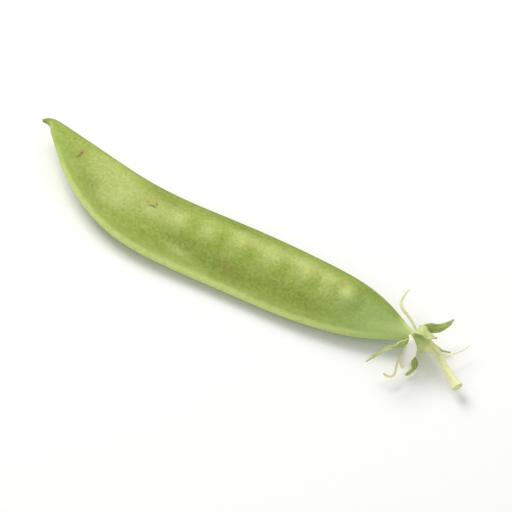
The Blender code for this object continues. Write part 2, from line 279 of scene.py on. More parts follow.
# The rings that close the cut end, as shares of its size, how deep they sink and how high its core stands.
CUT_RINGS = (0.97, 0.9, 0.8, 0.68, 0.55, 0.42, 0.3, 0.18, 0.08)
CUT_DEPTH = 0.16
CUT_CORE_HEIGHT = 0.05
CUT_ROUGHNESS = 0.04
# A thin dry strand that leaves the stalk near its foot.
STRAND_ROUTE = (
    (3.3, -0.75, -0.45),
    (4.0, 0.25, -0.75),
    (4.7, 1.5, -1.0),
    (5.3, 2.5, -1.2),
    (6.0, 3.7, -1.3),
    (6.3, 4.7, -1.3),
    (6.6, 5.5, -1.15),
)
STRAND_RADII = ((0.0, 0.3), (0.12, 0.2), (0.3, 0.14), (0.8, 0.12), (1.0, 0.05))
STRAND_RINGS = 70
STRAND_SIDES = 12

# Dry stamens, from the middle of the calyx mouth: the fused sheath with its blade, the thread that its end
# is drawn out to, and the free stamen. A trough hollows the blade, and a skew slants its end.
SHEATH_ROUTE = (
    (1.2, -0.64, 1.18),
    (0.0, -0.66, 1.30),
    (-0.6, -0.80, 1.64),
    (-0.80, -1.10, 2.38),
    (-0.10, -1.80, 2.90),
    (0.72, -2.80, 2.44),
    (0.86, -4.15, 1.34),
    (0.72, -5.45, 0.42),
    (0.66, -6.30, -0.18),
    (0.74, -6.95, -0.68),
)
SHEATH_HALF_WIDTHS = (
    (0.0, 0.26),
    (0.22, 0.28),
    (0.36, 0.36),
    (0.48, 0.85),
    (0.62, 1.52),
    (0.68, 1.5),
    (0.86, 1.05),
    (0.94, 0.72),
    (0.98, 0.5),
    (1.0, 0.26),
)
SHEATH_HALF_HEIGHTS = ((0.0, 0.22), (0.3, 0.16), (0.5, 0.07), (0.9, 0.06), (1.0, 0.05))
SHEATH_RINGS = 180
SHEATH_SIDES = 48
SHEATH_TROUGH = 0.12
SHEATH_SKEW = -0.75
SHEATH_VEINS = 7
# Tears in the blade's margins, coarse and fine: depth as a share of its width, and count over its length.
TEARS = ((0.10, 26), (0.03, 90))
THREAD_ROUTE = (
    (-0.30, -4.85, 0.75),
    (-0.38, -5.85, 0.05),
    (-0.22, -6.85, -0.55),
    (0.22, -8.00, -1.15),
    (0.35, -8.75, -1.4),
    (0.12, -9.40, -1.5),
    (-0.6, -9.85, -1.35),
    (-1.45, -10.05, -0.85),
)
THREAD_RADII = ((0.0, 0.12), (0.12, 0.22), (0.5, 0.27), (0.85, 0.27), (0.95, 0.3), (1.0, 0.14))
THREAD_RINGS = 110
THREAD_SIDES = 20
# Kinks of the two threads: height as a share of the radius, and count over the length.
THREAD_KINKS = (0.16, 30)
FREE_STAMEN_KINKS = (0.12, 40)
FREE_STAMEN_ROUTE = (
    (1.4, 1.20, 0.58),
    (-0.8, 1.36, 0.58),
    (-1.8, 1.95, 0.75),
    (-3.4, 2.90, 0.95),
    (-5.9, 3.90, 1.20),
    (-6.9, 4.80, 1.30),
    (-7.3, 6.40, 1.20),
    (-7.4, 7.70, 1.00),
    (-7.3, 8.60, 0.80),
)
FREE_STAMEN_RADII = ((0.0, 0.26), (0.2, 0.22), (0.45, 0.33), (0.7, 0.32), (0.9, 0.24), (1.0, 0.1))
FREE_STAMEN_RINGS = 160

# The photograph's view: the pod's base in its pixels, its scale there, and the window that the render shows.
PHOTO_AZIMUTH = 33.7
PHOTO_ELEVATION = 60.0
PHOTO_PX_PER_MM = 183.7 / 90.0
PHOTO_BASE_PX = (348.7, 248.5)
WINDOW_CENTRE_PX = (283.5, 215.0)
WINDOW_ZOOM = 2.4
IMAGE_PX = 512
CAMERA_DISTANCE_MM = 2400.0
CAMERA_CLIP_START_M = 0.01
SENSOR_MM = 36.0
FLOOR_HALF_SIZE_M = 3.0
# The place that both lights are turned to.
LIT_PLACE_M = (0, 0, 0.003)

# Sockets of a node that mixes colours.
MIX_SHARE = 0
MIX_A = 6
MIX_B = 7
MIX_RESULT = 2


def spline(stations, at):
    """Natural cubic curve through (distance, value) stations, read at the distances given."""
    x, y = np.array(stations, float).T
    h = np.diff(x)
    system = np.eye(len(x))
    right = np.zeros(len(x))
    for i in range(1, len(x) - 1):
        system[i, i - 1 : i + 2] = h[i - 1], 2 * (h[i - 1] + h[i]), h[i]
        right[i] = 6 * ((y[i + 1] - y[i]) / h[i] - (y[i] - y[i - 1]) / h[i - 1])
    bend = np.linalg.solve(system, right)
    at = np.clip(at, x[0], x[-1])
    i = np.clip(np.searchsorted(x, at) - 1, 0, len(h) - 1)
    a, b = (x[i + 1] - at) / h[i], (at - x[i]) / h[i]
    return a * y[i] + b * y[i + 1] + ((a**3 - a) * bend[i] + (b**3 - b) * bend[i + 1]) * h[i] ** 2 / 6


def smooth_step(low, high, at):
    t = np.clip((at - low) / (high - low), 0, 1)
    return t * t * (3 - 2 * t)


def bell(at, middle, width):
    return np.exp(-(((at - middle) / width) ** 2))


def soft_noise(u, v, size, seed):
    """Smooth random heights from -1 to 1 over a plane, with features of about this size."""
    table = np.random.default_rng(seed).uniform(-1, 1, (NOISE_CELLS, NOISE_CELLS))
    x, y = u / size + NOISE_SHIFT[0], v / size + NOISE_SHIFT[1]
    i, j = np.floor(x).astype(int), np.floor(y).astype(int)
    fx, fy = x - i, y - j
    fx, fy = fx * fx * (3 - 2 * fx), fy * fy * (3 - 2 * fy)
    i, j = i % NOISE_CELLS, j % NOISE_CELLS
    next_i, next_j = (i + 1) % NOISE_CELLS, (j + 1) % NOISE_CELLS
    low = table[i, j] * (1 - fx) + table[next_i, j] * fx
    high = table[i, next_j] * (1 - fx) + table[next_i, next_j] * fx
    return low * (1 - fy) + high * fy


def net(u, v, cell, angle, seed):
    """Closeness to the lines of an irregular net, with this length and width of mesh and this turn."""
    table = np.random.default_rng(seed).uniform(0.12, 0.88, (NET_CELLS, NET_CELLS, 2))
    turn = math.radians(angle)
    p = (u * math.cos(turn) + v * math.sin(turn)) / cell[0] + NET_SHIFT[0]
    q = (-u * math.sin(turn) + v * math.cos(turn)) / cell[1] + NET_SHIFT[1]
    i, j = np.floor(p).astype(int), np.floor(q).astype(int)
    nearest = np.full(u.shape, np.inf)
    second = np.full(u.shape, np.inf)
    for di in (-1, 0, 1):
        for dj in (-1, 0, 1):
            spot = table[(i + di) % NET_CELLS, (j + dj) % NET_CELLS]
            dx = (i + di + spot[..., 0] - p) * cell[0]
            dy = (j + dj + spot[..., 1] - q) * cell[1]
            away = np.hypot(dx, dy)
            second = np.minimum(second, np.maximum(away, nearest))
            nearest = np.minimum(nearest, away)
    return np.exp(-(((second - nearest) / VEIN_WIDTH) ** 2))


def pod_edges(along):
    """Heights of the upper and lower sutures over the chord."""
    upper = spline([(s[0], s[1]) for s in OUTLINE], along)
    lower = spline([(s[0], s[2]) for s in OUTLINE], along)
    return upper, lower


def flesh_half(along, across, half_width):
    """Half thickness without the peas. across runs from -1 at the lower suture to 1 at the upper."""
    body = smooth_step(SUTURE_FROM_WIDTH, SUTURE_FULL_WIDTH, half_width)
    power = ELLIPSE_EDGE_POWER + (VALVE_EDGE_POWER - ELLIPSE_EDGE_POWER) * body
    flatness = ELLIPSE_FLATNESS + (VALVE_FLATNESS - ELLIPSE_FLATNESS) * body
    valve = spline(THICKNESS, along) * (1 - np.abs(across) ** flatness) ** power
    radius = np.where(across > 0, UPPER_SUTURE_RADIUS, LOWER_SUTURE_RADIUS)
    radius = radius * (SUTURE_LEAST_SHARE + (1 - SUTURE_LEAST_SHARE) * body)
    radius = np.minimum(radius, SUTURE_MOST_OF_WIDTH * half_width)
    from_edge = half_width * (1 - np.abs(across))
    bead = np.sqrt(np.clip(radius**2 - (from_edge - radius) ** 2, 0, None))
    return (valve**BLEND_POWER + bead**BLEND_POWER) ** (1 / BLEND_POWER)


def pea_relief(along, over_chord, shape_power=2):
    """How far the peas push the wall out at a place on the pod."""
    relief = np.zeros_like(along + over_chord)
    for place, share, height in PEAS:
        upper, lower = pod_edges(np.array([place]))
        centre = upper[0] + share * (lower[0] - upper[0])
        dy = over_chord - centre
        dx = along - place + PEA_LEAN * dy
        reach = (dx / PEA_HALF_LENGTH) ** 2 + (dy / PEA_HALF_WIDTH) ** 2
        relief += height * np.clip(1 - reach, 0, None) ** shape_power
    return relief


def middle_height(along, over_chord):
    """Height of the pod's middle plane, which bows up to both ends and twists along its length."""
    to_tip = np.clip((REST_FROM_TIP - along) / REST_FROM_TIP, 0, None)
    to_base = np.clip((along - REST_FROM_TIP) / (POD_LENGTH - REST_FROM_TIP), 0, None)
    lift = TIP_LIFT * to_tip**2 + BASE_LIFT * to_base**2
    twist = TIP_TWIST * to_tip**2 + BASE_TWIST * np.minimum(to_base, 1) ** 2
    upper, lower = pod_edges(along)
    return MIDDLE_HEIGHT + lift + twist * (over_chord - (upper + lower) / 2)


def hooked(points):
    """Bends the beak over towards the lower suture."""
    angle = np.clip((HOOK_FROM - points[..., 0]) / HOOK_RADIUS, 0, None)
    bent = points.copy()
    reach = HOOK_RADIUS + points[..., 1] - HOOK_MIDDLE
    turned = angle > 0
    bent[..., 0] = np.where(turned, HOOK_FROM - reach * np.sin(angle), points[..., 0])
    bent[..., 1] = np.where(turned, HOOK_MIDDLE - HOOK_RADIUS + reach * np.cos(angle), points[..., 1])
    return bent


def placed(points):
    """From distances along, over and up, in millimetres, to the frame's metres."""
    return (points - np.array([REST_FROM_TIP, REST_ACROSS, 0.0])) * MM


def calyx_mouth():
    upper, lower = pod_edges(np.array([CALYX_MOUTH_FROM_TIP]))
    over = (upper[0] + lower[0]) / 2
    height = middle_height(np.array([CALYX_MOUTH_FROM_TIP]), np.array([over]))[0]
    return np.array([CALYX_MOUTH_FROM_TIP, over, height])


def calyx_foot():
    return calyx_mouth() - TOWARDS_TIP * CALYX_PROFILE[-1][0]


def outward(azimuth):
    """Unit vector square to the pod's chord at an azimuth in degrees, and the one a quarter turn on."""
    a = math.radians(azimuth)
    return np.array([0, math.cos(a), math.sin(a)]), np.array([0, -math.sin(a), math.cos(a)])


def view_axes(azimuth, elevation):
    """Right, up and back of a camera that looks down by the elevation and along +Y at azimuth 0."""
    a, e = math.radians(azimuth), math.radians(elevation)
    right = Vector((math.cos(a), math.sin(a), 0))
    back = Vector((math.sin(a) * math.cos(e), -math.cos(a) * math.cos(e), math.sin(e)))
    return right, back.cross(right), back


def base_anchor():
    """The pod's base, which is at PHOTO_BASE_PX in the photograph, in millimetres of the frame."""
    return Vector(placed(np.array([POD_LENGTH, 0.0, calyx_mouth()[2]])) / MM)


def photo_to_pod(pixel, height):
    """Distance along and over the chord of what shows at a pixel of the photograph and has this height."""
    right, up, _ = view_axes(PHOTO_AZIMUTH, PHOTO_ELEVATION)
    anchor = base_anchor()
    across = (pixel[0] - PHOTO_BASE_PX[0]) / PHOTO_PX_PER_MM
    rise = (PHOTO_BASE_PX[1] - pixel[1]) / PHOTO_PX_PER_MM - (height - anchor.z) * up.z
    x, y = np.linalg.solve([[right.x, right.y], [up.x, up.y]], [across, rise])
    return x + anchor.x + REST_FROM_TIP, y + anchor.y + REST_ACROSS


def add_object(name, data):
    made = bpy.data.objects.new(name, data)
    bpy.context.scene.collection.objects.link(made)
    return made


def make_mesh(name, points, faces, attributes, material):
    """A smooth-shaded piece with one named number per point for each attribute."""
    mesh = bpy.data.meshes.new(name)
    mesh.from_pydata(placed(np.asarray(points).reshape(-1, 3)).tolist(), [], faces)
    mesh.shade_smooth()
    for key, values in attributes.items():
        layer = mesh.attributes.new(key, "FLOAT", "POINT")
        layer.data.foreach_set("value", np.asarray(values, np.float32).ravel())
    mesh.materials.append(material)
    return add_object(name, mesh)


def ring_faces(rings, sides):
    """Quads between rings of points, and a face over each end."""
    k = np.arange(sides)
    n = (k + 1) % sides
    low = np.arange(rings - 1)[:, None] * sides
    quads = np.stack([low + k, low + sides + k, low + sides + n, low + n], axis=-1).reshape(-1, 4)
    faces = quads.tolist()
    faces.append(list(range(sides)))
    faces.append(list(range(rings * sides - 1, (rings - 1) * sides - 1, -1)))
    return faces


def joined(shells):
    """Points and faces of several closed tubes as those of one mesh."""
    points, faces, count = [], [], 0
    for rings in shells:
        points.append(rings.reshape(-1, 3))
        faces.extend([i + count for i in face] for face in ring_faces(*rings.shape[:2]))
        count += len(points[-1])
    return np.concatenate(points), faces


def in_a_row(*grids):
    """The numbers of several grids of points as one flat array."""
    return np.concatenate([np.ravel(grid) for grid in grids])


class Shader:
    """A procedural material, built from short calls. Sizes are in millimetres of the pod."""

    def __init__(self, name):
        self.material = bpy.data.materials.new(name)
        self.material.use_nodes = True
        self.tree = self.material.node_tree
        self.out = self.tree.nodes["Principled BSDF"]
        self.place = self.node("ShaderNodeTexCoord").outputs["Object"]

    def node(self, kind, inputs=None, **settings):
        """A new node with these settings, and with a number, colour or link for each of these inputs."""
        made = self.tree.nodes.new(kind)
        for key, value in settings.items():
            setattr(made, key, value)
        for key, value in (inputs or {}).items():
            self.put(made.inputs[key], value)
        return made

    def put(self, socket, value):
        if isinstance(value, bpy.types.NodeSocket):
            self.tree.links.new(value, socket)
        elif isinstance(value, tuple) and len(value) == 3 and socket.type == "RGBA":
            socket.default_value = (*value, 1)
        else:
            socket.default_value = value

    def set(self, **values):
        for key, value in values.items():
            self.put(self.out.inputs[key.replace("_", " ")], value)

    def attribute(self, name):
        return self.node("ShaderNodeAttribute", attribute_name=name).outputs["Fac"]

    def turned(self, stretch, angle):
        inputs = {"Vector": self.place, "Rotation": (0, 0, math.radians(angle)), "Scale": stretch}
        return self.node("ShaderNodeMapping", inputs).outputs["Vector"]

    def noise(self, size, detail=2.0, roughness=0.5, stretch=(1, 1, 1), angle=0.0, distortion=0.0):
        inputs = {"Vector": self.turned(stretch, angle), "Scale": 1 / (size * MM), "Detail": detail}
        inputs.update({"Roughness": roughness, "Distortion": distortion})
        return self.node("ShaderNodeTexNoise", inputs).outputs["Fac"]

    def cells(self, size):
        inputs = {"Vector": self.place, "Scale": 1 / (size * MM)}
        return self.node("ShaderNodeTexVoronoi", inputs).outputs["Distance"]

    def math(self, operation, a, b):
        return self.node("ShaderNodeMath", {0: a, 1: b}, operation=operation).outputs[0]

    def times(self, a, b):
        return self.math("MULTIPLY", a, b)

    def span(self, value, low, high, to_low=0.0, to_high=1.0):
        """The value's way from low to high, eased at both ends and spread over to_low to to_high."""
        inputs = {"Value": value, "From Min": low, "From Max": high, "To Min": to_low, "To Max": to_high}
        return self.node("ShaderNodeMapRange", inputs, interpolation_type="SMOOTHSTEP").outputs["Result"]

    def mix(self, share, a, b, blend="MIX"):
        inputs = {MIX_SHARE: share, MIX_A: a, MIX_B: b}
        return self.node("ShaderNodeMix", inputs, data_type="RGBA", blend_type=blend).outputs[MIX_RESULT]

    def bump(self, height, strength, depth, normal=None):
        inputs = {"Strength": strength, "Distance": depth * MM, "Height": height}
        if normal is not None:
            inputs["Normal"] = normal
        return self.node("ShaderNodeBump", inputs).outputs["Normal"]


def srgb(red, green, blue):
    """Linear colour of an 8-bit one."""
    shares = [c / 255 for c in (red, green, blue)]
    return tuple(((c + 0.055) / 1.055) ** 2.4 if c > 0.04 else c / 12.92 for c in shares)


def mark(along, over, spot):
    """From 1 in the middle of a mark to 0 outside it."""
    pixel, length, width, angle = spot
    x, y = photo_to_pod(pixel, MARK_HEIGHT)
    turn = math.radians(angle)
    dx, dy = along - x, over - y
    u = (dx * math.cos(turn) + dy * math.sin(turn)) / length
    v = (-dx * math.sin(turn) + dy * math.cos(turn)) / width
    return np.exp(-(u * u + v * v))


def surface_frame(points):
    """Outward normals of the pod's rings, and distances round them from the upper and the lower suture."""
    lengthwise = np.gradient(points, axis=0)
    round_about = (np.roll(points, -1, axis=1) - np.roll(points, 1, axis=1)) / 2
    normals = np.cross(round_about, lengthwise)
    normals /= np.linalg.norm(normals, axis=-1, keepdims=True) + 1e-12
    step = np.linalg.norm(np.roll(points, -1, axis=1) - points, axis=-1)
    reached = np.cumsum(step, axis=1) - step
    whole = step.sum(axis=1, keepdims=True)
    from_upper = np.minimum(reached, whole - reached)
    from_lower = np.abs(reached - reached[:, POD_SIDES // 2][:, None])
    return normals, from_upper, from_lower


def wall_relief(along, over, side, from_upper, from_lower):
    """Height of the veins and dents on the pod's walls, and how close each point is to a vein."""
    blade = smooth_step(1.5, 9.0, along) * smooth_step(POD_LENGTH + 0.5, POD_LENGTH - 9.0, along)
    inner = smooth_step(0.8, 2.2, from_upper) * smooth_step(0.7, 2.0, from_lower)
    under = side < 0
    shifted = along + UNDERSIDE_VEIN_SHIFT * under
    nets = [net(shifted, over, VEIN_CELL, angle, SEED + i) for i, angle in enumerate(VEIN_ANGLES)]
    vein = np.maximum(*nets) * inner
    relief = VEIN_HEIGHT * vein * blade
    shifted = along + UNDERSIDE_DENT_SHIFT * under
    for i, (size, depth) in enumerate(DENTS):
        relief = relief + depth * soft_noise(shifted, over * DENT_STRETCH, size, SEED + 10 + i) * inner
    return relief, vein


def suture_relief(along, from_upper, from_lower):
    """Height of the upper suture's groove and ridges, the lower one's rib and the valleys beside them."""
    fade = smooth_step(0.5, 5.0, along) * smooth_step(STIPE_END - 1.5, POD_LENGTH - 4.0, along)
    relief = np.zeros(along.shape)
    for from_edge, forms in ((from_upper, UPPER_SUTURE_FORMS), (from_lower, LOWER_SUTURE_FORMS)):
        for middle, width, height in forms:
            relief = relief + height * bell(from_edge, middle, width)
    return relief * fade


def pod_grid():
    """Points of the finely modelled pod, and the numbers that its skin is coloured by."""
    share = np.linspace(0, 1, POD_RINGS)
    eased = share - POD_END_EASE * np.sin(2 * math.pi * share) / (2 * math.pi)
    along = (-BEAK_LENGTH + (STIPE_END + BEAK_LENGTH) * eased)[:, None]
    turn = np.linspace(0, 2 * math.pi, POD_SIDES, endpoint=False)[None, :]
    upper, lower = pod_edges(along)
    half_width = (upper - lower) / 2
    across = np.cos(turn)
    over = (upper + lower) / 2 + half_width * across
    # 1 on the wall that faces up, -1 on the underside and 0 at the sutures.
    side = np.sign(np.round(np.sin(turn), 9))
    along = np.broadcast_to(along, over.shape)
    fade = 1 - across**PEA_EDGE_FADE
    peas = pea_relief(along, over) * fade * np.where(side > 0, 1, UNDERSIDE_PEA_SHARE)
    height = middle_height(along, over) + side * (flesh_half(along, across, half_width) + peas)
    points = hooked(np.stack([along, over, height], axis=-1))
    normals, from_upper, from_lower = surface_frame(points)

    def marks(spots):
        return np.clip(sum(mark(along, over, spot) for spot in spots), 0, 1) * (side > 0)

    scars = marks(SCARS)
    relief, vein = wall_relief(along, over, side, from_upper, from_lower)
    relief = relief + suture_relief(along, from_upper, from_lower) - SCAR_DEPTH * scars
    points = points + normals * relief[..., None]
    points[..., 2] = np.maximum(points[..., 2], 0)

    pea = np.clip(pea_relief(along, over, PEA_COLOUR_POWER) / PEA_COLOUR_FULL_AT, 0, 1)
    past_tip = 0.4 + 0.6 * smooth_step(2, 13, along)
    # A darker band along the upper suture and its shoulder, partly the suture's own darker green, partly
    # painted shade.
    shoulder_shade = smooth_step(4.5, 1.5, from_upper) * smooth_step(14, 30, along)
    # How much of each feature there is at a point of the skin, and where along and across the pod it is.
    numbers = {
        # Paleness over the peas, partly a painted highlight.
        "pea": pea * fade * smooth_step(2.2, 5.5, from_upper),
        "vein": vein,
        "ridge": bell(from_upper, 1.0, 0.5) * smooth_step(83.5, 89, along) * (side > 0),
        "upper_band_shade": smooth_step(1.6, 0.5, from_upper) + 0.5 * shoulder_shade,
        # The lower suture's pale rim, partly a painted highlight.
        "lower_rim_and_highlight": smooth_step(1.9 + 0.7 * bell(along, 42, 14), 0.2, from_lower) * past_tip,
        # Painted light above the lower suture.
        "lower_band_light": smooth_step(4.6, 0.8, from_lower) * past_tip,
        "scar": scars,
        "halo": marks(HALOS),
        "brown": marks(BROWN_PATCHES),
        # Paler patches, partly painted sheen and highlights.
        "pale": marks(PALE_AND_SHEEN_PATCHES),
        "deep": marks(DEEP_PATCHES),
        "along": along / POD_LENGTH,
        "across": np.broadcast_to(across, over.shape) * 0.5 + 0.5,
    }
    return points, numbers


def mottled_green(s, along, across):
    """The pod's ground colour: blotched and streaked, with painted light that makes it paler towards the
    upper suture.
    """
    leaf = srgb(150, 169, 66)
    deep = srgb(134, 153, 48)
    light = srgb(177, 192, 104)
    broad = s.noise(17, 2.5, 0.5, (1, 1.3, 1), 20)
    blotch = s.noise(4.2, 3.0, 0.55, (1, 2.0, 1), 35, 0.6)
    streak = s.noise(1.5, 3.0, 0.6, (1, 3.2, 1), 48, 0.3)
    colour = s.mix(s.times(s.span(broad, 0.38, 0.66), 0.5), leaf, deep)
    # Painted light: paler towards the upper suture, less so towards the base.
    painted_light_share = s.span(along, 0.3, 0.7, 0.45, 0.25)
    colour = s.mix(s.times(s.span(across, 0.45, 0.85), painted_light_share), colour, light)
    colour = s.mix(s.times(s.span(blotch, 0.42, 0.72), 0.32), colour, light)
    bloom = s.noise(2.0, 4.0, 0.65, (1, 1.5, 1), 10, 0.4)
    colour = s.mix(s.span(bloom, 0.52, 0.78, 0.0, 0.32), colour, srgb(182, 200, 122))
    colour = s.mix(s.span(bloom, 0.48, 0.22, 0.0, 0.3), colour, srgb(132, 154, 52))
    return s.mix(s.times(s.span(streak, 0.35, 0.75), 0.22), colour, deep)


def pod_skin_material():
    """Waxy green skin: mottled, netted with fine veins, paler over the peas and along the lower rim, partly
    as painted highlights, with painted light over the lower band and painted shade along the upper suture.
    """
    s = Shader("pod_skin")
    along, across = s.attribute("along"), s.attribute("across")
    colour = mottled_green(s, along, across)
    colour = s.mix(s.times(s.attribute("deep"), 0.7), colour, srgb(122, 142, 44))
    # Paler over each pea: partly the pea showing through the thin wall, partly a painted highlight.
    pea = s.times(s.attribute("pea"), s.span(s.noise(2.6, 2.0), 0.25, 0.8, 0.2, 0.7))
    colour = s.mix(pea, colour, srgb(198, 209, 120))
    # Paler patches, partly painted sheen and painted highlights.
    colour = s.mix(s.times(s.attribute("pale"), 0.6), colour, srgb(192, 202, 122))
    colour = s.mix(s.times(s.attribute("vein"), 0.12), colour, srgb(177, 192, 104))
    grit = s.span(s.noise(0.62, 2.0, 0.6), 0.24, 0.76)
    colour = s.mix(0.23, colour, grit, "SOFT_LIGHT")
    # Painted light: a paler band above the lower suture, where the wall turns away from the lamp.
    lower_light = s.times(s.attribute("lower_band_light"), s.span(s.noise(1.3, 3.0), 0.25, 0.7, 0.35, 0.85))
    colour = s.mix(lower_light, colour, srgb(176, 196, 104))
    # The lower suture's pale rim: partly its own colour, partly a painted highlight where the rim catches the
    # light.
    rim = s.times(s.attribute("lower_rim_and_highlight"), s.span(s.noise(0.8, 3.0), 0.25, 0.7, 0.65, 1.0))
    colour = s.mix(rim, colour, srgb(212, 226, 142))
    # Painted shade along the upper suture, darker still over its shoulder, with some of the suture's own
    # darker green.
    colour = s.mix(s.times(s.attribute("upper_band_shade"), 0.55), colour, srgb(122, 142, 52))
    tip = s.span(along, 0.012, -0.012)
    colour = s.mix(s.times(tip, 0.6), colour, srgb(112, 120, 60))
    cool = s.times(s.span(along, 0.72, 0.94), s.span(across, 0.66, 0.95, 0.46, 0.05))
    colour = s.mix(cool, colour, srgb(162, 189, 122))
    neck = s.span(along, 0.93, 1.0)
    colour = s.mix(s.times(neck, 0.75), colour, srgb(190, 204, 132))
    colour = s.mix(s.times(s.attribute("ridge"), 0.7), colour, srgb(222, 230, 160))
    brown = s.times(s.attribute("brown"), s.span(s.noise(0.7, 3.0), 0.4, 0.62))
    colour = s.mix(s.times(brown, 0.5), colour, srgb(140, 124, 60))
    halo = s.times(s.attribute("halo"), s.span(s.noise(0.6, 3.0), 0.3, 0.6, 0.3, 0.8))
    colour = s.mix(halo, colour, srgb(170, 160, 76))
    colour = s.mix(s.times(s.attribute("scar"), 0.85), colour, srgb(104, 88, 40))
    s.set(Base_Color=colour, Metallic=0.0, IOR=1.42, Specular_IOR_Level=0.3)
    s.set(Roughness=s.span(s.noise(1.1, 3.0), 0.3, 0.7, 0.40, 0.54))
    s.set(Subsurface_Weight=0.16, Subsurface_Radius=(0.9, 1.0, 0.2), Subsurface_Scale=1.3 * MM)
    s.set(Coat_Weight=0.08, Coat_Roughness=0.34, Sheen_Weight=0.05, Sheen_Roughness=0.45)
    s.set(Sheen_Tint=srgb(224, 236, 196))
    grain = s.bump(s.noise(0.22, 3.0, 0.6), 0.30, 0.05)
    s.set(Normal=s.bump(s.cells(0.36), 0.22, 0.05, grain))
    return s.material


def build_pod():
    points, numbers = pod_grid()
    faces = ring_faces(POD_RINGS, POD_SIDES)
    piece = make_mesh("pod_skin", points, faces, numbers, pod_skin_material())
    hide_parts("pod")
    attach(piece, "root")


def cleared(points):
    """The same points, eased up where they would come too near the surface that the pod lies on."""
    over = (points[..., 2] - FLOOR_CLEARANCE) / FLOOR_SOFTNESS
    lifted = points.copy()
    lifted[..., 2] = FLOOR_CLEARANCE + FLOOR_SOFTNESS * np.logaddexp(0, over)
    return lifted


def ripple(wave, share, lobe):
    """Height of a wave at a share of a lobe's length."""
    size, pace, shift = wave
    return size * math.sin(pace * share + shift * lobe)


def lobe_frame(form, share):
    """Heading, side and normal of a calyx lobe at a share of its length."""
    openings = list(zip(LOBE_SHARES, form["openings"]))
    opening = math.radians(spline(openings, np.array([share]))[0])
    radial, side = outward(form["root"] + (form["tip"] - form["root"]) * smooth_step(0, 1, share))
    heading = math.cos(opening) * TOWARDS_TIP + math.sin(opening) * radial
    normal = math.cos(opening) * radial - math.sin(opening) * TOWARDS_TIP
    turn = math.radians(form["twist"]) * smooth_step(0, TWIST_DONE_AT, share)
    turned_side = math.cos(turn) * side + math.sin(turn) * normal
    turned_normal = math.cos(turn) * normal - math.sin(turn) * side
    return heading, turned_side, turned_normal


def lobe_sheet(mouth, lobe, form):
    """Rows of points over a lobe, drawn out to a point, creased at its midrib and waved at its margins."""
    rim = CALYX_PROFILE[-1][1]
    root_half = rim * math.radians(LOBE_STEP / 2)
    point = mouth + outward(form["root"])[0] * rim * (1 + CALYX_RIB)
    columns = np.linspace(-1, 1, LOBE_COLUMNS + 1)
    rows = []
    for row in range(1, LOBE_ROWS + 1):
        share = row / LOBE_ROWS
        heading, side, normal = lobe_frame(form, share)
        point = point + heading * form["length"] / LOBE_ROWS
        taper = (1 + form["belly"] * share) * (1 - share) ** form["taper"]
        half = LOBE_TIP_HALF_WIDTH + (root_half - LOBE_TIP_HALF_WIDTH) * taper
        half *= 1 + ripple(OUTLINE_WOBBLE, share, lobe)
        hollow = 1 + (form["cup"] - 1) * smooth_step(0, CUP_DONE_AT, share)
        bow = rim * (1 + LOBE_ARCH * share)
        turns = half / bow * columns
        crease = MIDRIB_HEIGHT * bell(columns * half, 0, MIDRIB_WIDTH) * (1 - share) ** MIDRIB_FADE
        wave = ripple(MARGIN_WAVE, share, lobe) * np.abs(columns) ** 3 * smooth_step(0.05, 0.4, share)
        lift = (crease + wave * np.sign(columns - WAVE_TURNS_OVER_AT))[:, None]
        across = bow * np.sin(turns)[:, None] * side - hollow * bow * (1 - np.cos(turns))[:, None] * normal
        rows.append(point + across + normal * lift)
    return np.array(rows)


def calyx_rings():
    """Radius of the cup by distance from its foot, as finely spaced rings."""
    distances, radii = np.array(CALYX_PROFILE).T
    length = np.concatenate([[0], np.cumsum(np.hypot(np.diff(distances), np.diff(radii)))])
    at = np.linspace(0, length[-1], CUP_ROWS)
    return np.interp(at, length, distances), np.interp(at, length, radii)


